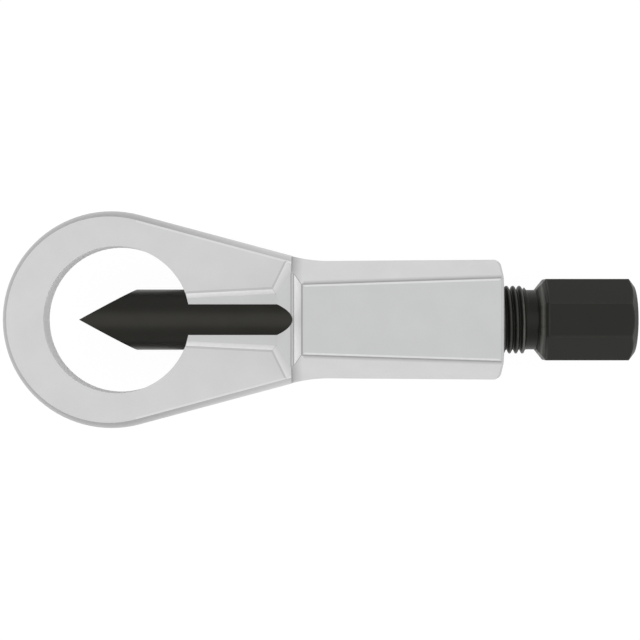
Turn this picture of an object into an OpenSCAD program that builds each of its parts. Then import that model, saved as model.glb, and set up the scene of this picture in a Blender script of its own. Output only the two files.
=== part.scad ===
// Nut splitter: a forged ring frame, a screw spindle and a chisel that the spindle drives across the ring.
// Millimetres. The tool's axis runs along X, the ring's hole along Z, and the tool lies on its handle.

/* [Ring] */
// Bore that goes over the nut
hole_d = 34.2; // [31:0.2:37]
// Outside of the ring at the parting line
ring_d = 51; // [49:0.5:54]
// Outer circle's centre ahead of the bore, so the wall is thickest opposite the chisel
ring_shift = 1.75; // [1:0.25:2.5]
// Thickness between the two flat faces
ring_t = 10; // [9:0.25:11]
// How far the crowned rim falls back from the parting line to each face
rim_fall = 1.5; // [1:0.1:1.9]

/* [Neck] */
// Slope of each side of the neck to the tool's axis
neck_angle = 15; // [14.5:0.1:15.5]
// Where the neck ends and the handle begins, from the bore's axis
neck_end = 40.6; // [40.3:0.05:40.9]
// Thickness over the two guide bosses
boss_t = 12.4; // [11.8:0.1:12.8]
// Boss width where it meets the bore, at its foot
boss_front_w = 12.4; // [11.6:0.2:13.4]
// Boss width where it opens into the shoulder, at its foot
boss_rear_w = 14.3; // [13.5:0.1:15.1]
// Lean of the boss walls from upright
boss_lean = 46; // [25:1:50]
// Where the boss opens into the shoulder
flare_start = 36.3; // [35.5:0.1:36.9]
// Angle of the opening walls to the tool's axis
flare_angle = 64; // [55:1:75]
// Where the shoulder starts to rise
rise_start = 37.3; // [36.6:0.1:37.6]
// Slope of the shoulder
rise_angle = 15; // [12:0.5:16]

/* [Handle] */
// Rear face of the handle from the bore's axis
handle_end = 89.5; // [88.5:0.1:90.5]
// Thickness over the two raised panels
handle_t = 24; // [23:0.25:26]
// Height of each raised panel
panel_rise = 0.25; // [0.15:0.05:0.4]
// Panel width at its front end
panel_front_w = 15.9; // [14.6:0.1:16.8]
// Panel width at its rear end
panel_rear_w = 18.9; // [17.6:0.1:19.4]
// Ledge left along the panel and in front of it
panel_ledge = 0.3; // [0.15:0.05:0.45]
// Width at the parting line just behind the neck
handle_front_w = 27.4; // [27:0.1:28]
// Width at the parting line at the rear
handle_rear_w = 27.9; // [27.4:0.1:28.6]
// Lean of the side faces from upright
side_lean = 30.4; // [29:0.2:32]
// Hollow radius where the neck runs into the handle
blend_r = 32; // [20:1:45]
// Foot of the ramp up to the panel
ramp_foot = 41.2; // [41.1:0.05:41.5]
// Top of the ramp
ramp_top = 43; // [42.6:0.1:43.4]
// Corner radius at the rear, seen from above
corner_r = 1.6; // [1:0.1:2.5]
// Radius of the slightly bulging rear face, seen from above
end_r = 240; // [150:5:400]
// Rounded edge at the rear, above and below
end_round = 0.8; // [0.4:0.1:1.2]
// Broken edge at the mouth of the tapped hole
mouth_break = 0.7; // [0.4:0.1:1]

/* [Chisel] */
// Round shank
chisel_d = 14.2; // [13.9:0.1:14.6]
// Angle between the two ground faces
edge_angle = 58; // [50:1:65]
// Cutting edge to rear face
chisel_len = 61.8; // [61.2:0.1:62.4]
// Gap from the cutting edge to the far wall of the ring, as photographed
edge_gap = 8.6; // [8.5:0.1:9.2]
// Keyway width
keyway_w = 3.2; // [3.1:0.05:3.5]
// Keyway floor from the axis
keyway_floor = 5; // [4.7:0.1:5.1]

/* [Spindle] */
// Outside diameter of the thread
thread_d = 16; // [15.6:0.1:16.4]
// Advance for one turn
thread_pitch = 1.5; // [1:0.25:2]
// Threaded length
thread_len = 42.1; // [41.8:0.1:43]
// Runout groove behind the thread
runout_d = 14; // [13:0.1:14.2]
// Length of that groove
runout_len = 2.1; // [1.8:0.1:2.6]
// Spanner size over opposite flats of the drive head
head_af = 19; // [18:0.5:19.5]
// Length of the drive head
head_len = 22.9; // [18:0.1:28]
// Length of the slanted flats next to the groove
head_front_break = 2.05; // [1.5:0.05:2.5]
// Radius of the end face
head_face_r = 8.1; // [7:0.1:8.6]
// Length of the chamfer round the end face
head_rear_break = 1.05; // [0.8:0.05:1.8]
// Pilot that turns in the chisel
pilot_d = 7; // [6.6:0.1:7.4]
// Neck of the pilot's retaining groove
groove_d = 5; // [4.6:0.1:5.4]
// Width of the retaining groove
groove_w = 2.5; // [2.4:0.05:2.8]

/* [Small pieces] */
// Thrust ball
ball_d = 6; // [5:0.1:6.4]
// Depth of the socket in the chisel's rear
socket_depth = 12; // [11.8:0.1:12.6]
// Retaining pins
keeper_d = 2; // [1.8:0.05:2.2]
// Retaining pins from the chisel's rear face
keeper_back = 2.55; // [2.4:0.05:2.7]
// Guide pin
guide_d = 3; // [2.5:0.05:3.05]
// Guide pin from the bore's axis
guide_x = 42.3; // [42.2:0.05:42.5]
// Metal between the guide pin's hole and the tapped hole
guide_wall = 0.7; // [0.4:0.1:1]
// Turns of the spindle that take the chisel back out of the ring
retract_turns = 17; // [14:1:17]

/* [Clearances] */
// Turning or sliding round fit, on the radius
run_clear = 0.05; // [0.02:0.01:0.09]
// Pin pressed in a hole, on the radius
press_clear = 0.01; // [0:0.005:0.02]
// Room at each side of a retaining pin, and past the guide pin's tip
pin_clear = 0.1; // [0.05:0.05:0.2]
// End play of the thrust ball
ball_play = 0.03; // [0.01:0.01:0.06]
// Spindle's thread to the chisel's rear face
nose_gap = 0.4; // [0.3:0.1:0.8]

/* [Hidden] */
$fn = 96;
// longer than any cut through the tool
reach = 80;
// cutters run past faces by this much
over = 1;
// the handle is set into the neck by this much, and is narrower there so no faces lie together
set_in = 0.85;
seam = 0.1;
// flats on the head, steps on drawn arcs
head_flats = 8;
arc_steps = 12;
round_steps = 5;

ring_r = ring_d / 2;
half_plate = ring_t / 2;
half_boss = boss_t / 2;
half_handle = handle_t / 2;
half_facet = half_handle - panel_rise;
crown_r = (half_plate * half_plate + rim_fall * rim_fall) / (2 * rim_fall);
boss_taper = atan((boss_rear_w - boss_front_w) / 2 / (flare_start - hole_d / 2));
rise_top = half_boss + (neck_end - rise_start) * tan(rise_angle);
bore_r = chisel_d / 2 + run_clear;
// the ramp's foot stays just above the guide bore
foot_z = max(rise_top, bore_r) + seam;
// the window ends where the shoulder's slope leaves the bore
window_end = rise_start + (bore_r - half_boss) / tan(rise_angle);
window_r = bore_r * tan(rise_angle);
panel_taper = atan((panel_rear_w - panel_front_w) / 2 / (handle_end - ramp_top));

tapped_r = thread_d / 2 + run_clear;
tapped_start = guide_x + guide_d / 2 + guide_wall;
mouth_r = tapped_r + mouth_break;

edge_x = -hole_d / 2 + edge_gap;
chisel_rear = edge_x + chisel_len;
wedge_len = chisel_d / 2 / tan(edge_angle / 2);
socket_r = pilot_d / 2 + run_clear;
socket_floor = chisel_rear - socket_depth;
ball_x = socket_floor + ball_play + ball_d / 2;
keeper_x = chisel_rear - keeper_back;
keeper_z = groove_d / 2 + keeper_d / 2 + pin_clear;
keeper_half = sqrt(pow(chisel_d / 2, 2) - pow(keeper_z + keeper_d / 2, 2)) - pin_clear;

nose_x = chisel_rear + nose_gap;
pilot_x = ball_x + ball_d / 2 + ball_play;
runout_x = nose_x + thread_len;
head_x = runout_x + runout_len;
head_end = head_x + head_len;

// the keyway is long enough for the chisel to go back by this much
retract = retract_turns * thread_pitch;
keyway_start = guide_x - retract - keyway_w / 2 - pin_clear;
guide_tip = keyway_floor + pin_clear;

left_end = -ring_shift - ring_r;
middle = (left_end + head_end) / 2;

function neck_half(x) = ring_r / cos(neck_angle) - (x + ring_shift) * tan(neck_angle);
function panel_half(x) = panel_front_w / 2 + (x - ramp_top) * tan(panel_taper);
// a line drawn on one side of the axis, closed by its mirror image
function both_sides(line) = concat(line, [for (i = [len(line) - 1 : -1 : 0]) [line[i][0], -line[i][1]]]);

// one side of the handle seen from above: the neck's line, a hollow blend, the side, the rear corner
meet_x = (ring_r / cos(neck_angle) - seam - handle_front_w / 2) / tan(neck_angle) - ring_shift;
side_angle = atan((handle_rear_w - handle_front_w) / 2 / (handle_end - meet_x));
blend_len = blend_r * tan((neck_angle + side_angle) / 2);
blend_x = max(meet_x - blend_len * cos(neck_angle), neck_end - set_in + seam);
blend_y = neck_half(blend_x) - seam;

function blend_point(a) = [
    blend_x + blend_r * (sin(neck_angle) + sin(a)),
    blend_y + blend_r * (cos(neck_angle) - cos(a))
];
// the rear corner touches the side and the bulging rear face
corner_y = handle_rear_w / 2 - corner_r;
end_x = handle_end - end_r;
corner_x = end_x + sqrt(pow(end_r - corner_r, 2) - pow(corner_y, 2));
corner_end = atan2(corner_y, corner_x - end_x);
function corner_point(a) = [corner_x + corner_r * cos(a), corner_y + corner_r * sin(a)];
function end_point(a) = [end_x + end_r * cos(a), end_r * sin(a)];
handle_side = concat(
    [[neck_end - set_in, neck_half(neck_end - set_in) - seam]],
    [for (i = [0 : arc_steps]) blend_point(-neck_angle + (neck_angle + side_angle) * i / arc_steps)],
    [for (i = [0 : arc_steps]) corner_point(90 - (90 - corner_end) * i / arc_steps)],
    [for (i = [1 : arc_steps - 1]) end_point(corner_end * (1 - i / arc_steps))]
);

// upper edge of the handle seen from the side: below the shoulder, a step, the ramp, the rounded rear
function end_round_line(top) = [
    for (i = [0 : round_steps])
        let (a = 90 * i / round_steps)
            [handle_end - end_round * (1 - sin(a)), top - end_round * (1 - cos(a))]
];
handle_edge = concat(
    [
        [neck_end - set_in, half_plate - seam],
        [neck_end - seam, half_plate - seam],
        [neck_end - seam, foot_z],
        [ramp_foot, foot_z],
        [ramp_top, half_facet]
    ],
    end_round_line(half_facet)
);
// the same for the panel that stands a little proud of the handle
panel_edge = concat([[ramp_top, half_handle]], end_round_line(half_handle));

// moves the tool so that it lies on z = 0 with the origin under the middle of its length
module in_part_frame() {
    translate([-middle, 0, half_handle])
        children();
}

// turns a drawn profile so that it is extruded along X, with its own x across the tool and its own y up
module along_x(from, length) {
    translate([from, 0, 0])
        rotate([90, 0, 90])
            linear_extrude(length)
                children();
}

module cylinder_along_x(from, to, r) {
    translate([from, 0, 0])
        rotate([0, 90, 0])
            cylinder(r = r, h = to - from);
}

// half of the plate's cross-section, from the middle out to the crowned rim
module rim_profile(half_t) {
    intersection() {
        translate([0, -half_t])
            square([ring_r + over, 2 * half_t]);
        union() {
            translate([0, -half_t])
                square([ring_r - crown_r, 2 * half_t]);
            translate([ring_r - crown_r, 0])
                circle(crown_r);
        }
    }
}

// ring and tapered neck to one thickness
module plate(half_t) {
    translate([-ring_shift, 0, 0])
        rotate([0, 0, 90 - neck_angle])
            rotate_extrude(angle = 180 + 2 * neck_angle)
                rim_profile(half_t);
    neck_side(half_t);
    mirror([0, 1, 0])
        neck_side(half_t);
}

module neck_side(half_t) {
    intersection() {
        translate([-ring_shift, 0, 0])
            rotate([0, 0, -neck_angle])
                along_x(0, reach)
                    rim_profile(half_t);
        translate([-reach, -reach, -reach])
            cube([reach + neck_end, 2 * reach, 2 * reach]);
    }
}

// a wall that leans in towards both faces above its foot, swept along a line through (x, foot) at an angle
// below its foot it carries on into the plate by the given depth
module leaning_side(x, foot, angle, half_foot, half_top, lean, below = 0) {
    fall = (half_top - half_foot) * tan(lean);
    step = below * tan(lean);
    translate([x, foot, 0])
        rotate([0, 0, angle])
            along_x(-reach, 2 * reach)
                polygon([
                    [-reach, -half_top],
                    [-fall, -half_top],
                    [step, below - half_foot],
                    [step, half_foot - below],
                    [-fall, half_top],
                    [-reach, half_top]
                ]);
}

// straight part of the guide boss, above and below the plate
module boss() {
    intersection() {
        boss_side();
        mirror([0, 1, 0])
            boss_side();
        translate([0, -reach, -reach])
            cube([neck_end, 2 * reach, 2 * reach]);
    }
}

module boss_side() {
    leaning_side(flare_start, boss_rear_w / 2, boss_taper, half_plate, half_boss, boss_lean, over);
}

// rising shoulder where the boss opens out to the neck's full width
module shoulder() {
    front = flare_start - chisel_d / 2;
    low = half_boss - (rise_start - front) * tan(rise_angle);
    intersection() {
        across()
            polygon([
                [front, -low],
                [neck_end, -rise_top],
                [neck_end, rise_top],
                [front, low]
            ]);
        shoulder_side();
        mirror([0, 1, 0])
            shoulder_side();
        union() {
            neck_side(rise_top + over);
            mirror([0, 1, 0])
                neck_side(rise_top + over);
        }
    }
}

module shoulder_side() {
    leaning_side(flare_start, boss_rear_w / 2, flare_angle, half_plate, rise_top + over, boss_lean, over);
}

// turns a drawn side view so that it is extruded right across the tool
module across() {
    translate([0, reach, 0])
        rotate([90, 0, 0])
            linear_extrude(2 * reach)
                children();
}

module handle() {
    intersection() {
        translate([0, 0, -reach])
            linear_extrude(2 * reach)
                polygon(both_sides(handle_side));
        union() {
            handle_body();
            panel();
        }
    }
}

module handle_body() {
    intersection() {
        across()
            polygon(both_sides(handle_edge));
        handle_lean();
        mirror([0, 1, 0])
            handle_lean();
    }
}

module handle_lean() {
    spread = half_facet * tan(side_lean);
    leaning_side(ramp_top, panel_front_w / 2 + panel_ledge + spread, panel_taper, 0, half_facet, side_lean);
}

// flat panel above and below, run out over the rounded rear
module panel() {
    front = ramp_top + panel_ledge;
    rear = handle_end + over;
    intersection() {
        across()
            polygon(both_sides(panel_edge));
        translate([0, 0, -reach])
            linear_extrude(2 * reach)
                polygon([
                    [front, -panel_half(front)],
                    [rear, -panel_half(rear)],
                    [rear, panel_half(rear)],
                    [front, panel_half(front)]
                ]);
    }
}

// forged in one piece: ring, neck, guide bosses and handle
module frame() {
    in_part_frame()
        color("LightGray")
            difference() {
                union() {
                    plate(half_plate);
                    boss();
                    shoulder();
                    handle();
                }
                translate([0, 0, -reach / 2])
                    cylinder(r = hole_d / 2, h = reach);
                cylinder_along_x(0, tapped_start + over, bore_r);
                translate([window_end - window_r, 0, -foot_z - over])
                    cylinder(r = window_r, h = 2 * (foot_z + over));
                cylinder_along_x(tapped_start, handle_end + over, tapped_r);
                translate([handle_end - mouth_r + tapped_r, 0, 0])
                    rotate([0, 90, 0])
                        cylinder(r1 = tapped_r, r2 = mouth_r + over, h = mouth_r - tapped_r + over);
                translate([guide_x, -reach, 0])
                    rotate([-90, 0, 0])
                        cylinder(r = guide_d / 2 + press_clear, h = reach);
            }
}

// round bar ground to a wedge, with a keyway along one side and a socket for the spindle's pilot
module chisel() {
    half = chisel_d / 2;
    in_part_frame()
        color("DimGray")
            difference() {
                intersection() {
                    cylinder_along_x(edge_x, chisel_rear, half);
                    translate([0, 0, -half - over])
                        linear_extrude(chisel_d + 2 * over)
                            polygon([
                                [edge_x, 0],
                                [edge_x + wedge_len, -half],
                                [edge_x + wedge_len + over, -half - over],
                                [chisel_rear + over, -half - over],
                                [chisel_rear + over, half + over],
                                [edge_x + wedge_len + over, half + over],
                                [edge_x + wedge_len, half]
                            ]);
                }
                cylinder_along_x(socket_floor, chisel_rear + over, socket_r);
                translate([keyway_start, -half - over, -keyway_w / 2])
                    cube([reach, half + over - keyway_floor, keyway_w]);
                for (side = [-1, 1])
                    translate([keeper_x, -reach / 2, side * keeper_z])
                        rotate([-90, 0, 0])
                            cylinder(r = keeper_d / 2 + press_clear, h = reach);
            }
}

// pilot, screw, runout groove and eight-sided drive head, turned from one bar
module spindle() {
    groove_x = keeper_x - groove_w / 2;
    in_part_frame()
        color("DimGray") {
            rotate([0, 90, 0])
                rotate_extrude()
                    polygon([
                        [0, pilot_x],
                        [pilot_d / 2, pilot_x],
                        [pilot_d / 2, groove_x],
                        [groove_d / 2, groove_x],
                        [groove_d / 2, groove_x + groove_w],
                        [pilot_d / 2, groove_x + groove_w],
                        [pilot_d / 2, nose_x],
                        [thread_d / 2 - thread_pitch / 2, nose_x],
                        [thread_d / 2, nose_x + thread_pitch / 2],
                        [thread_d / 2, runout_x],
                        [runout_d / 2, runout_x],
                        [runout_d / 2, head_x + over],
                        [0, head_x + over]
                    ]);
            drive_head();
        }
}

// eight flats, slanted at the front and with a turned chamfer at the rear
module drive_head() {
    rear_slope = (head_af / 2 - head_face_r) / head_rear_break;
    intersection() {
        intersection_for(turn = [0 : head_flats / 2 - 1])
            rotate([turn * 360 / head_flats, 0, 0])
                flat_pair();
        rotate([0, 90, 0])
            rotate_extrude()
                polygon([
                    [0, head_x],
                    [head_af, head_x],
                    [head_af, head_end - (head_af - head_face_r) / rear_slope],
                    [head_face_r, head_end],
                    [0, head_end]
                ]);
    }
}

// two opposite flats of the head with their slanted front ends
module flat_pair() {
    start = runout_d / 2 + seam;
    half = head_af / 2;
    across()
        polygon([
            [head_x, -start],
            [head_x + head_front_break, -half],
            [head_end, -half],
            [head_end, half],
            [head_x + head_front_break, half],
            [head_x, start]
        ]);
}

module thrust_ball() {
    in_part_frame()
        color("Silver")
            translate([ball_x, 0, 0])
                sphere(d = ball_d);
}

// two pins across the chisel, one each side of the pilot's groove
module retaining_pins() {
    in_part_frame()
        color("Silver")
            for (side = [-1, 1])
                translate([keeper_x, -keeper_half, side * keeper_z])
                    rotate([-90, 0, 0])
                        cylinder(r = keeper_d / 2, h = 2 * keeper_half);
}

// pin through the handle's side that runs in the chisel's keyway, its outer end ground flush
module guide_pin() {
    in_part_frame()
        color("Silver")
            intersection() {
                translate([guide_x, -guide_tip - reach, 0])
                    rotate([-90, 0, 0])
                        cylinder(r = guide_d / 2, h = reach);
                handle();
            }
}

frame();
chisel();
spindle();
thrust_ball();
retaining_pins();
guide_pin();
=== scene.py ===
import math

import bmesh
import bpy
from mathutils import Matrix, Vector


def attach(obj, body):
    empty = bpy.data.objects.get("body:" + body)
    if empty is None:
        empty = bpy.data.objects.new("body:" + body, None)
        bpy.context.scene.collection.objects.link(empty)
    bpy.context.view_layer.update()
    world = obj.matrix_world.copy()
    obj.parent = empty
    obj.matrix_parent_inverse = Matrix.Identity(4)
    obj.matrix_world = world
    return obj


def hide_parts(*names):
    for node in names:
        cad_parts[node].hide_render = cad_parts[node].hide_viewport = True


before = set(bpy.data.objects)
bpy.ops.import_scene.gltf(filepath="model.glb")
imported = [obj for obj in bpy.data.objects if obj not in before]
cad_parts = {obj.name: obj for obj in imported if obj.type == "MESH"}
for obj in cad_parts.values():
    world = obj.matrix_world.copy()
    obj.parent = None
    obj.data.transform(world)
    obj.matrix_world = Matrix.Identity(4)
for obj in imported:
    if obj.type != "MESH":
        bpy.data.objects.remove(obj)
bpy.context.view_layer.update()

# Photograph's view.
# The tool lies on its handle and is seen straight from above, with the ring at the left. The camera is
# about 42 cm above the parting line, so the near edges of the handle and the drive head stand out a little.
parting_height = 0.012
camera_x = 0.00048
camera_y = -0.00008
camera_above_parting = 0.4235
film_width_mm = 36.0
lens_mm = 101.25
nearest_seen = 0.01

scene = bpy.context.scene
scene.view_settings.view_transform = "Standard"
camera_data = bpy.data.cameras.new("camera")
camera_data.sensor_width = film_width_mm
camera_data.lens = lens_mm
camera_data.clip_start = nearest_seen
camera = bpy.data.objects.new("camera", camera_data)
camera.location = (camera_x, camera_y, parting_height + camera_above_parting)
scene.collection.objects.link(camera)
scene.camera = camera

# Bench and studio light.
# A white sheet under the tool and a white tent round it, with four low soft boxes that light the slanted
# faces more than the level ones. Two grey cards beside the tool show only in its gloss.
white = (1.0, 1.0, 1.0, 1.0)
tent_seen_strength = 1.0
tent_light_strength = 0.945
sheet_half = 1.5
sheet_drop = 0.0002
sheet_colour = (0.9, 0.9, 0.9, 1.0)
sheet_glow = 1.03
sheet_white_share = 0.93
box_reach = 0.70
box_height = 0.20
box_depth = 0.30
end_box_width = 0.60
side_box_width = 0.80
ring_end_watts = 1.1
head_end_watts = 0.7
side_watts = 0.5
card_reach = 0.30
card_half = 0.40
card_low = 0.03
card_high = 0.65
card_strength = 0.5


def seen_rays(tree):
    """Gives 1 for the rays that see the white background: camera, glossy and transmission rays."""
    path = tree.nodes.new("ShaderNodeLightPath")
    total = path.outputs["Is Camera Ray"]
    for kind in ("Is Glossy Ray", "Is Transmission Ray"):
        larger = tree.nodes.new("ShaderNodeMath")
        larger.operation = "MAXIMUM"
        tree.links.new(total, larger.inputs[0])
        tree.links.new(path.outputs[kind], larger.inputs[1])
        total = larger.outputs["Value"]
    return total


def mix_to_output(tree, share, first, second, output):
    """Mixes two shaders by a share and puts them out as the surface."""
    mix = tree.nodes.new("ShaderNodeMixShader")
    tree.links.new(share, mix.inputs["Fac"])
    tree.links.new(first, mix.inputs[1])
    tree.links.new(second, mix.inputs[2])
    tree.links.new(mix.outputs["Shader"], output.inputs["Surface"])


def tent_wall(tree, strength):
    """White light of the tent at one strength."""
    wall = tree.nodes.new("ShaderNodeBackground")
    wall.inputs["Color"].default_value = white
    wall.inputs["Strength"].default_value = strength
    return wall.outputs["Background"]


tent = bpy.data.worlds.new("tent")
scene.world = tent
tent.use_nodes = True
tree = tent.node_tree
tree.nodes.clear()
tent_out = tree.nodes.new("ShaderNodeOutputWorld")
tent_light = tent_wall(tree, tent_light_strength)
tent_seen = tent_wall(tree, tent_seen_strength)
mix_to_output(tree, seen_rays(tree), tent_light, tent_seen, tent_out)

sheet_mesh = bpy.data.meshes.new("bench_sheet")
sheet_bm = bmesh.new()
bmesh.ops.create_grid(sheet_bm, x_segments=1, y_segments=1, size=sheet_half)
sheet_bm.to_mesh(sheet_mesh)
sheet_bm.free()
sheet = bpy.data.objects.new("bench_sheet", sheet_mesh)
sheet.location = (0.0, 0.0, -sheet_drop)
scene.collection.objects.link(sheet)

sheet_paint = bpy.data.materials.new("white_sheet")
sheet_paint.use_nodes = True
tree = sheet_paint.node_tree
tree.nodes.clear()
sheet_diffuse = tree.nodes.new("ShaderNodeBsdfDiffuse")
sheet_diffuse.inputs["Color"].default_value = sheet_colour
sheet_white = tree.nodes.new("ShaderNodeEmission")
sheet_white.inputs["Color"].default_value = white
sheet_white.inputs["Strength"].default_value = sheet_glow
white_part = tree.nodes.new("ShaderNodeMath")
white_part.operation = "MULTIPLY"
white_part.inputs[1].default_value = sheet_white_share
tree.links.new(seen_rays(tree), white_part.inputs[0])
sheet_out = tree.nodes.new("ShaderNodeOutputMaterial")
mix_to_output(
    tree,
    white_part.outputs["Value"],
    sheet_diffuse.outputs["BSDF"],
    sheet_white.outputs["Emission"],
    sheet_out,
)
sheet_mesh.materials.append(sheet_paint)


def soft_box(name, x, y, width, watts):
    """A rectangular lamp that looks at the middle of the tool and doesn't show in its gloss."""
    lamp = bpy.data.lights.new(name, "AREA")
    lamp.shape = "RECTANGLE"
    lamp.size = width
    lamp.size_y = box_depth
    lamp.energy = watts
    holder = bpy.data.objects.new(name, lamp)
    place = Vector((x, y, box_height))
    holder.location = place
    aim = Vector((0.0, 0.0, parting_height)) - place
    holder.rotation_euler = aim.to_track_quat("-Z", "Y").to_euler()
    holder.visible_glossy = False
    scene.collection.objects.link(holder)


soft_box("box_ring_end", -box_reach, 0.0, end_box_width, ring_end_watts)
soft_box("box_head_end", box_reach, 0.0, end_box_width, head_end_watts)
soft_box("box_far_side", 0.0, box_reach, side_box_width, side_watts)
soft_box("box_near_side", 0.0, -box_reach, side_box_width, side_watts)

card_grey = bpy.data.materials.new("card_grey")
card_grey.use_nodes = True
tree = card_grey.node_tree
tree.nodes.clear()
card_glow = tree.nodes.new("ShaderNodeEmission")
card_glow.inputs["Strength"].default_value = card_strength
card_out = tree.nodes.new("ShaderNodeOutputMaterial")
tree.links.new(card_glow.outputs["Emission"], card_out.inputs["Surface"])


def side_card(name, y):
    """A grey card beside the tool that shows only in its gloss, and draws the sides of the round bars."""
    mesh = bpy.data.meshes.new(name)
    low = [(-card_half, y, card_low), (card_half, y, card_low)]
    high = [(card_half, y, card_high), (-card_half, y, card_high)]
    mesh.from_pydata(low + high, [], [(0, 1, 2, 3)])
    mesh.materials.append(card_grey)
    card = bpy.data.objects.new(name, mesh)
    card.visible_camera = False
    card.visible_diffuse = False
    card.visible_shadow = False
    card.visible_transmission = False
    scene.collection.objects.link(card)


side_card("card_far", card_reach)
side_card("card_near", -card_reach)

# Frame.
# One steel drop forging: ring, neck, guide boss and handle. It is blasted and satin plated; its raised level
# flats are a little darker. Painted highlight lies along its edges, and painted shade in the corners at the
# foot of each step.
axis_to_middle = 0.046775
bore_axis = Vector((-axis_to_middle, 0.0, parting_height))
hole_r = 0.0171
hole_margin = 0.001
raised_margin = 0.0003
panel_inside = 0.0070

# Heights from the parting line, the same upwards and downwards.
plate_half = 0.0050
rim_middle = 0.3 * plate_half
wall_foot = 0.0054
wall_top = 0.0064
ledge_shade = 0.01055
ledge_half = 0.01175
panel_half = 0.0120

# Distances from the axis of the bore towards the drive head.
neck_front = 0.006
flare_front = 0.0363
neck_back = 0.0404
ramp_front = 0.0409
step_shade = 0.0432
ramp_back = 0.0434
rear_round = 0.0885

# Borders of the flat faces, what tells an edge from a curve, and distances that count as none.
edge_border = 0.00026
broad_border = 0.00045
broad_face = 2e-4
least_flat = 4e-7
curved_most = 0.25
border_share = 0.6
step_share = 0.4
same_plane = math.radians(0.4)
sharp_angle = math.radians(12.0)
crease_angle = math.radians(20.0)
hard_turn = math.radians(30.0)
near = 0.00008
solid_weld = 2e-6
line_weld = 1e-7

# Lean of a face, as the share of its normal along an axis.
level_least = 0.99
raised_flat_least = 0.94
top_least = 0.8
ramp_least = 0.8
side_most_level = 0.95
side_most_along = 0.4

# Painted tones on the plating: painted highlight over 0, painted shade under 0.
painted_shade_line = -1.0
crease_shade = -0.45
panel_edge_highlight = 0.5
neck_edge_highlight = 0.3
rear_edge_shade = -0.4
behind_step_shade = -0.8
ramp_foot_highlight = 1.25
wall_foot_highlight = 0.9
flare_foot_highlight = 0.75
flare_top_shade = -0.4
rim_edge_shade = -0.65
ring_rim_shade = -0.60


def solid_copy(node):
    """A solid's mesh with its flat triangles joined."""
    bm = bmesh.new()
    bm.from_mesh(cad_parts[node].data)
    bmesh.ops.remove_doubles(bm, verts=bm.verts, dist=solid_weld)
    bmesh.ops.dissolve_limit(bm, angle_limit=same_plane, verts=bm.verts, edges=bm.edges, delimit=set())
    return bm


def is_flat(face):
    """A face counts as flat unless its neighbours carry on from it in a gentle curve."""
    curved = sum(e.calc_length() for e in face.edges if same_plane < e.calc_face_angle(0.0) < sharp_angle)
    return face.calc_area() > least_flat and curved < curved_most * face.calc_perimeter()


def border_of(face):
    """Width of a face's border, well under the face's own width and its smallest step."""
    area = face.calc_area()
    widest = broad_border if area > broad_face else edge_border
    width = min(widest, border_share * area / face.calc_perimeter())
    for corner in face.loops:
        turns = [abs(math.pi - c.calc_angle()) for c in (corner, corner.link_loop_next)]
        if min(turns) > hard_turn:
            width = min(width, step_share * corner.edge.calc_length())
    return width


def edged(bm, name, tone_of, is_soft):
    """Makes an object of a mesh. Each flat face gets a narrow border that takes the painted highlight and
    shade of the edge beside it, and the shading turns over from one border to the next as on a rounded edge."""
    tone = bm.loops.layers.float.new("painted_light_tone")
    edge_of = {}
    for face in [f for f in bm.faces if is_flat(f)]:
        made = bmesh.ops.inset_individual(bm, faces=[face], thickness=border_of(face), use_even_offset=True)
        inner = set(face.verts)
        for strip in made["faces"]:
            edge_of[strip] = [e for e in strip.edges if not inner & set(e.verts)][0]
    for edge in bm.edges:
        bordered = all(f in edge_of for f in edge.link_faces)
        edge.smooth = bordered or is_soft(edge) or edge.calc_face_angle(0.0) < sharp_angle
    for face in bm.faces:
        face.smooth = True
        bend = edge_of[face].calc_face_angle_signed(0.0) if face in edge_of else 0.0
        for corner in face.loops:
            corner[tone] = tone_of(face, corner.vert.co, bend)
    mesh = bpy.data.meshes.new(name)
    bm.to_mesh(mesh)
    bm.free()
    piece = bpy.data.objects.new(name, mesh)
    scene.collection.objects.link(piece)
    level_faces = piece.modifiers.new("level_faces", "WEIGHTED_NORMAL")
    level_faces.keep_sharp = True
    return piece


def tone_line(bm, faces, place, across):
    """Adds a line over some faces, where their painted shade starts to change."""
    verts = list(dict.fromkeys(v for f in faces for v in f.verts))
    edges = list(dict.fromkeys(e for f in faces for e in f.edges))
    geom = verts + edges + faces
    bmesh.ops.bisect_plane(bm, geom=geom, dist=line_weld, plane_co=place, plane_no=across)


def fade(value, low, high):
    """1 up to the low mark, 0 from the high mark, and even between them."""
    return min(max((high - value) / (high - low), 0.0), 1.0)


def is_side(face):
    """True for a face that leans as the handle's sides and their slanted upper and lower parts do."""
    return abs(face.normal.z) < side_most_level and abs(face.normal.x) < side_most_along


def handle_sides(bm, start):
    """The side faces that lie behind a place along the tool."""
    return [f for f in bm.faces if f.calc_center_median().x > bore_axis.x + start and is_side(f)]


def forging_edge_painted_light(spot, level, bend):
    """Painted tone beside an edge: painted shade in creases and round the ramp, painted highlight along the
    neck and panel.
    """
    height = abs(spot.z)
    if neck_back < spot.x < ramp_back:
        return painted_shade_line
    if bend < -crease_angle:
        return crease_shade
    if level > level_least and abs(height - panel_half) < near:
        return panel_edge_highlight if abs(spot.y) > panel_inside else 0.0
    if level > level_least and abs(height - plate_half) < near:
        off_hole = math.hypot(spot.x, spot.y) > hole_r + hole_margin
        return neck_edge_highlight if neck_front < spot.x and off_hole else 0.0
    return 0.0


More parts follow.
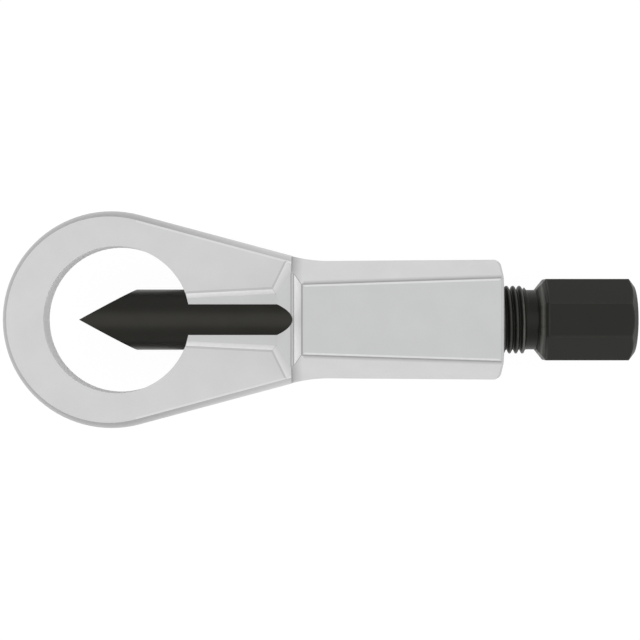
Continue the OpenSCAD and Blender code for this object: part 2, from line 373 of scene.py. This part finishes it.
def forging_painted_light(face, point, bend):
    """Painted tone at a face's corner: painted highlight over 0 on the edges, the ramp and the foot of the
    boss walls, and painted shade under 0 in creases, on the rim, high on the flare, round the rear, and
    beside panel and step."""
    spot = face.calc_center_median() - bore_axis
    level = abs(face.normal.z)
    along = point.x - bore_axis.x
    height = abs(point.z - bore_axis.z)
    if spot.x > rear_round and level < level_least:
        return rear_edge_shade
    if level > level_least and abs(height - ledge_half) < near:
        return painted_shade_line
    if spot.x > ramp_back and ledge_shade < abs(spot.z) < ledge_half - near:
        return painted_shade_line * (1.0 - fade(height, ledge_shade, ledge_half))
    if ramp_front < spot.x < step_shade and is_side(face):
        return behind_step_shade * fade(along, ramp_front, step_shade)
    if abs(bend) > sharp_angle:
        return forging_edge_painted_light(spot, level, bend)
    if ramp_front < spot.x < ramp_back and face.normal.x < -ramp_least:
        return ramp_foot_highlight * fade(along, ramp_front, ramp_back)
    if spot.x > neck_back or level > top_least or math.hypot(spot.x, spot.y) < hole_r + near:
        return 0.0
    if abs(spot.z) > plate_half + near:
        foot = fade(height, wall_foot, wall_top)
        return wall_foot_highlight * foot if spot.x < flare_front else flare_foot_highlight * foot + flare_top_shade
    on_ring = fade(along, neck_front, neck_back)
    return rim_edge_shade * (1.0 - fade(height, rim_middle, plate_half)) + ring_rim_shade * on_ring


def no_edge(edge):
    """For a piece on which no edge is soft by its place alone."""
    return False


bm = solid_copy("frame")
# Lines on the handle's sides where the painted shade behind the shoulder and beside the panel begins.
step_line = bore_axis + Vector((step_shade, 0.0, 0.0))
tone_line(bm, handle_sides(bm, neck_back), step_line, (1.0, 0.0, 0.0))
for line_height in (-ledge_shade, ledge_shade):
    ledge_line = bore_axis + Vector((0.0, 0.0, line_height))
    tone_line(bm, handle_sides(bm, step_shade), ledge_line, (0.0, 0.0, 1.0))
# The forging carries painted highlight and painted shade as a tone on the corners of its faces.
forging = edged(bm, "forged_frame", forging_painted_light, no_edge)
# Raised level faces are marked for a slightly darker plating colour.
darker_raised_flats = forging.data.attributes.new("darker_raised_flats", "FLOAT", "FACE")
for face, value in zip(forging.data.polygons, darker_raised_flats.data):
    raised = abs(face.center.z - parting_height) > plate_half + raised_margin
    value.value = 1.0 if raised and abs(face.normal.z) > raised_flat_least else 0.0
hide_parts("frame")
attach(forging, "frame")


def new_group(name, inputs, outputs):
    """An empty shader node group with named value sockets."""
    group = bpy.data.node_groups.new(name, "ShaderNodeTree")
    for label, value in inputs:
        socket = group.interface.new_socket(label, in_out="INPUT", socket_type="NodeSocketFloat")
        socket.default_value = value
    for label in outputs:
        group.interface.new_socket(label, in_out="OUTPUT", socket_type="NodeSocketFloat")
    start = group.nodes.new("NodeGroupInput")
    end = group.nodes.new("NodeGroupOutput")
    return group, start, end


def value_step(tree, operation, first, second):
    """A Math node on two values, each a socket or a number."""
    step = tree.nodes.new("ShaderNodeMath")
    step.operation = operation
    for place, value in enumerate((first, second)):
        if isinstance(value, float):
            step.inputs[place].default_value = value
        else:
            tree.links.new(value, step.inputs[place])
    return step.outputs["Value"]


def noise(tree, scale, detail, rough):
    """Noise in the piece's own coordinates; the scale comes from a socket, per metre."""
    place = tree.nodes.new("ShaderNodeTexCoord")
    made = tree.nodes.new("ShaderNodeTexNoise")
    made.inputs["Detail"].default_value = detail
    made.inputs["Roughness"].default_value = rough
    tree.links.new(scale, made.inputs["Scale"])
    tree.links.new(place.outputs["Object"], made.inputs["Vector"])
    return made.outputs["Fac"]


def use_group(tree, group, values):
    """Places a group in a material, with its own values where they differ from the group's."""
    made = tree.nodes.new("ShaderNodeGroup")
    made.node_tree = group
    for label, value in values.items():
        made.inputs[label].default_value = value
    return made


def spread(tree, value, low, high):
    """Maps a value of 0 to 1 on to a range."""
    made = tree.nodes.new("ShaderNodeMapRange")
    made.inputs["To Min"].default_value = low
    made.inputs["To Max"].default_value = high
    tree.links.new(value, made.inputs["Value"])
    return made.outputs["Result"]


def tint(tree, mask, under, over):
    """Mixes a colour over another by a mask; each colour is a socket or three numbers."""
    made = tree.nodes.new("ShaderNodeMix")
    made.data_type = "RGBA"
    tree.links.new(mask, made.inputs["Factor"])
    for label, colour in (("A", under), ("B", over)):
        socket = [s for s in made.inputs if s.name == label and s.type == "RGBA"][0]
        if isinstance(colour, tuple):
            socket.default_value = colour + (1.0,)
        else:
            tree.links.new(colour, socket)
    return [s for s in made.outputs if s.type == "RGBA"][0]


def surface_mask(tree, name):
    """Reads a mask that is stored on the mesh."""
    made = tree.nodes.new("ShaderNodeAttribute")
    made.attribute_name = name
    return made.outputs["Fac"]


# Grain of a blasted or ground surface, its broad clouds, and both together as a speckle.
grain_group, grain_in, grain_out = new_group(
    "surface_grain",
    [("Grain Scale", 5000.0), ("Cloud Scale", 120.0)],
    ["Grain", "Cloud", "Speckle"],
)
fine = noise(grain_group, grain_in.outputs["Grain Scale"], detail=3.0, rough=0.6)
broad = noise(grain_group, grain_in.outputs["Cloud Scale"], detail=4.0, rough=0.55)
both = value_step(grain_group, "MULTIPLY", value_step(grain_group, "ADD", fine, broad), 0.5)
grain_group.links.new(fine, grain_out.inputs["Grain"])
grain_group.links.new(broad, grain_out.inputs["Cloud"])
grain_group.links.new(both, grain_out.inputs["Speckle"])

# Painted highlight and painted shade from the tone on the mesh, split into its bright and its dark side and
# broken up in patches.
painted_light_group, painted_light_in, painted_light_out = new_group(
    "painted_edge_light",
    [("Patch Scale", 900.0)],
    ["Burnished", "Shaded"],
)
patches = noise(painted_light_group, painted_light_in.outputs["Patch Scale"], detail=2.0, rough=0.5)
painted_light_tone = surface_mask(painted_light_group, "painted_light_tone")
turned_tone = value_step(painted_light_group, "MULTIPLY", painted_light_tone, -1.0)
painted_highlight = value_step(painted_light_group, "MAXIMUM", painted_light_tone, 0.0)
shaded = value_step(painted_light_group, "MAXIMUM", turned_tone, 0.0)
painted_highlight = value_step(painted_light_group, "MULTIPLY", painted_highlight, spread(painted_light_group, patches, low=0.5, high=1.1))
shaded = value_step(painted_light_group, "MULTIPLY", shaded, spread(painted_light_group, patches, low=0.75, high=0.90))
painted_light_group.links.new(painted_highlight, painted_light_out.inputs["Burnished"])
painted_light_group.links.new(shaded, painted_light_out.inputs["Shaded"])


def finish_of(name):
    """A new material, its node tree and its Principled shader."""
    made = bpy.data.materials.new(name)
    made.use_nodes = True
    shader = made.node_tree.nodes["Principled BSDF"]
    return made, made.node_tree, shader


def grained_surface(tree, shader, grain, rough, strength, depth):
    """Lets the grain change a finish's roughness and raise a fine bump, its depth in metres."""
    tree.links.new(spread(tree, grain, *rough), shader.inputs["Roughness"])
    bump = tree.nodes.new("ShaderNodeBump")
    bump.inputs["Strength"].default_value = strength
    bump.inputs["Distance"].default_value = depth
    tree.links.new(grain, bump.inputs["Height"])
    tree.links.new(bump.outputs["Normal"], shader.inputs["Normal"])


blasted_dark = (0.56, 0.56, 0.56)
blasted_light = (0.70, 0.70, 0.70)
# Slightly darker colours for the raised level faces.
raised_flat_dark = (0.515, 0.52, 0.52)
raised_flat_light = (0.63, 0.635, 0.635)
# Colours of the painted shade and the painted highlight on the plating.
plating_shaded = (0.36, 0.36, 0.36)
plating_highlight = (0.92, 0.92, 0.92)
satin, tree, shader = finish_of("satin_plating")
grain = use_group(tree, grain_group, {})
painted_light = use_group(tree, painted_light_group, {})
blasted_colour = tint(tree, grain.outputs["Speckle"], blasted_dark, blasted_light)
raised_flat_colour = tint(tree, grain.outputs["Speckle"], raised_flat_dark, raised_flat_light)
colour = tint(tree, surface_mask(tree, "darker_raised_flats"), blasted_colour, raised_flat_colour)
# Painted shade and painted highlight laid over the plating's colour.
colour = tint(tree, painted_light.outputs["Shaded"], colour, plating_shaded)
colour = tint(tree, painted_light.outputs["Burnished"], colour, plating_highlight)
tree.links.new(colour, shader.inputs["Base Color"])
shader.inputs["Metallic"].default_value = 0.25
grained_surface(tree, shader, grain.outputs["Grain"], rough=(0.48, 0.62), strength=0.5, depth=0.00003)
forging.data.materials.append(satin)

# Chisel.
# A round bar of tool steel, ground to a wedge, hardened and black oxidised. It slides in the boss, and a
# keyway along its side runs on the guide pin.
# Painted highlight along the outer edges of the black parts.
edge_highlight_tone = 0.12


def edge_highlight(face, point, bend):
    """Painted highlight beside every outer edge."""
    return edge_highlight_tone if bend > sharp_angle else 0.0


chisel = edged(solid_copy("chisel"), "chisel_bar", edge_highlight, no_edge)
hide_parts("chisel")
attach(chisel, "chisel")

oxide_grain = {"Grain Scale": 3500.0, "Cloud Scale": 200.0}
# Colour of the painted highlight on the black oxide.
highlight_oxide = (0.120, 0.119, 0.108)


def oxide_finish(name, dark, light, rough):
    """Black oxidised steel, speckled by its grain and lighter where a painted highlight lies."""
    made, tree, shader = finish_of(name)
    grain = use_group(tree, grain_group, oxide_grain)
    painted_light = use_group(tree, painted_light_group, {})
    colour = tint(tree, grain.outputs["Speckle"], dark, light)
    colour = tint(tree, painted_light.outputs["Burnished"], colour, highlight_oxide)
    tree.links.new(colour, shader.inputs["Base Color"])
    grained_surface(tree, shader, grain.outputs["Grain"], rough, strength=0.2, depth=0.00001)
    return made, shader


ground_dark = (0.037, 0.036, 0.032)
ground_light = (0.054, 0.053, 0.048)
ground_oxide, shader = oxide_finish("ground_black_oxide", ground_dark, ground_light, rough=(0.30, 0.44))
shader.inputs["Metallic"].default_value = 1.0
chisel.data.materials.append(ground_oxide)

# Spindle.
# Turned from one bar: a pilot that is held in the chisel, a fine right-hand screw, a runout groove and an
# eight-sided head for a spanner. The screw is cut to full depth, and the whole is black oxidised.

# Places along the tool, from the axis of the bore less the way to the middle.
pilot_end = 0.04736 - axis_to_middle
groove_front = 0.0495 - axis_to_middle
groove_back = 0.0520 - axis_to_middle
nose = 0.0537 - axis_to_middle
runout = 0.0958 - axis_to_middle
head_front = 0.0979 - axis_to_middle
head_back = 0.1208 - axis_to_middle

# Radii, the screw's runout and the head's flats and chamfers.
pilot_r = 0.0035
groove_r = 0.0025
root_r = 0.00703
crest_r = 0.0079
runout_r = 0.0070
pitch = 0.0015
lead_in = 0.9
turns_before = 2
runout_foot = 0.0003
foot_slope = 0.3
rise_slope = 1.5
half_flats = 0.0095
start_flats = 0.0071
front_break = 0.00205
back_break = 0.00105
face_r = 0.0081
flats = 8
spokes = 96
turned_weld = 1e-6
angles = [math.tau * (j + 0.5 * spokes / flats) / spokes for j in range(spokes)]

# One turn of the thread: places from its crest, in pitches, and the radius at each.
thread_form = (
    (-0.20, 0.00778),
    (-0.11, 0.00794),
    (0.00, 0.00799),
    (0.11, 0.00794),
    (0.20, 0.00778),
    (0.40, 0.00714),
    (0.50, 0.00703),
    (0.60, 0.00714),
)

# Lines round the head's slanted front where its painted highlight band begins, is brightest and ends.
highlight_shares = (0.15, 0.45, 0.75)
highlight_rows = [head_front + share * front_break for share in highlight_shares]
# Painted highlight on the screw's crests, brighter on the last one.
crest_highlight = 0.3
last_crest_highlight = 0.9
slant_least = 0.4


def round_row(x, r):
    """A plain circle round the axis."""
    return [(x, r)] * spokes


def thread_row(phase, r):
    """One line along the screw, at a place in turns from the nose, cut down where the screw runs in
    and out."""
    row = []
    for angle in angles:
        x = nose + pitch * (phase + lead_in + angle / math.tau)
        x = min(max(x, nose), runout)
        left = runout - x
        run_in = root_r + (x - nose)
        run_out = runout_r + foot_slope * left + rise_slope * max(left - runout_foot, 0.0)
        row.append((x, min(r, run_in, run_out)))
    return row


def flats_row(x, half, towards=0.0, turned_r=0.0, length=0.0):
    """A line round the eight flats, straight across or where the turned chamfer cuts them."""
    row = []
    for angle in angles:
        across = (angle + math.pi / flats) % (math.tau / flats) - math.pi / flats
        r = half / math.cos(across)
        row.append((x + towards * length * (r - turned_r) / (half - turned_r), r))
    return row


rows = [
    round_row(pilot_end, pilot_r),
    round_row(groove_front, pilot_r),
    round_row(groove_front, groove_r),
    round_row(groove_back, groove_r),
    round_row(groove_back, pilot_r),
    round_row(nose, pilot_r),
    round_row(nose, root_r),
]
first_line = len(rows)
turns = math.ceil((runout - nose) / pitch) + 1
rows += [thread_row(turn + phase, r) for turn in range(-turns_before, turns) for phase, r in thread_form]
last_line = len(rows) - 1
rows += [
    round_row(runout, runout_r),
    round_row(head_front, runout_r),
    flats_row(head_front, start_flats),
]
for x, share in zip(highlight_rows, highlight_shares):
    rows.append(flats_row(x, start_flats + share * (half_flats - start_flats)))
rows += [
    flats_row(head_front + front_break, half_flats),
    flats_row(head_back, half_flats, towards=-1.0, turned_r=face_r, length=back_break),
    round_row(head_back, face_r),
]


def after_a_turn(i):
    """The row that a row runs into when it has gone once round: on the screw it is one pitch further on."""
    if first_line <= i <= last_line:
        return min(i + len(thread_form), last_line + 1)
    return i


bm = bmesh.new()
grid = []
for row in rows:
    line = []
    for angle, (x, r) in zip(angles, row):
        line.append(bm.verts.new((x, r * math.cos(angle), parting_height + r * math.sin(angle))))
    grid.append(line)
for i in range(len(grid) - 1):
    for j in range(spokes - 1):
        bm.faces.new((grid[i][j], grid[i][j + 1], grid[i + 1][j + 1], grid[i + 1][j]))
    closing = (grid[i][-1], grid[after_a_turn(i)][0], grid[after_a_turn(i + 1)][0], grid[i + 1][-1])
    bm.faces.new(dict.fromkeys(closing))
bm.faces.new(list(reversed(grid[0])))
bm.faces.new(grid[-1])
bmesh.ops.remove_doubles(bm, verts=bm.verts, dist=turned_weld)
bmesh.ops.dissolve_degenerate(bm, edges=bm.edges, dist=turned_weld)
bmesh.ops.recalc_face_normals(bm, faces=bm.faces)
head = [v for v in bm.verts if v.co.x > head_front - near]
head_edges = [e for e in bm.edges if min(v.co.x for v in e.verts) > head_front - near]
for highlight_row in highlight_rows:
    head_edges = [e for e in head_edges if max(abs(v.co.x - highlight_row) for v in e.verts) > near]
bmesh.ops.dissolve_limit(bm, angle_limit=same_plane, verts=head, edges=head_edges, delimit=set())


def on_screw(edge):
    """True for the edges of the pilot and the screw, whose shading runs on from row to row."""
    return max(v.co.x for v in edge.verts) < runout + near


def spindle_highlight(face, point, bend):
    """Painted highlight on the crests of the screw, and on the head's edges and slanted front."""
    from_axis = math.hypot(point.y, point.z - parting_height)
    if nose < point.x < runout:
        crest_glint = last_crest_highlight if point.x > runout - pitch else crest_highlight
        return crest_glint if from_axis > crest_r else 0.0
    on_front = point.x > head_front - near and from_axis > runout_r + near
    if on_front and face.normal.x < -slant_least:
        return fade(abs(point.x - highlight_rows[1]), 0.0, highlight_rows[1] - highlight_rows[0])
    return edge_highlight(face, point, bend)


spindle = edged(bm, "screw_spindle", spindle_highlight, on_screw)
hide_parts("spindle")
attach(spindle, "spindle")

turned_dark = (0.0090, 0.0090, 0.0065)
turned_light = (0.0140, 0.0140, 0.0115)
turned_oxide, shader = oxide_finish("black_oxide", turned_dark, turned_light, rough=(0.34, 0.50))
shader.inputs["Specular IOR Level"].default_value = 0.25
spindle.data.materials.append(turned_oxide)

# Ball and pins.
# Plain bright steel: a thrust ball between chisel and spindle, two pins that hold the pilot, and a guide pin
# ground flush with the handle's side.
bright_dark = (0.55, 0.55, 0.55)
bright_light = (0.62, 0.62, 0.62)
bright, tree, shader = finish_of("bright_steel")
grain = use_group(tree, grain_group, {"Grain Scale": 6000.0})
colour = tint(tree, grain.outputs["Cloud"], bright_dark, bright_light)
tree.links.new(colour, shader.inputs["Base Color"])
shader.inputs["Metallic"].default_value = 0.6
grained_surface(tree, shader, grain.outputs["Grain"], rough=(0.35, 0.50), strength=0.15, depth=0.00001)
for name in ("thrust_ball", "retaining_pins", "guide_pin"):
    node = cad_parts[name]
    node.data.materials.clear()
    node.data.materials.append(bright)
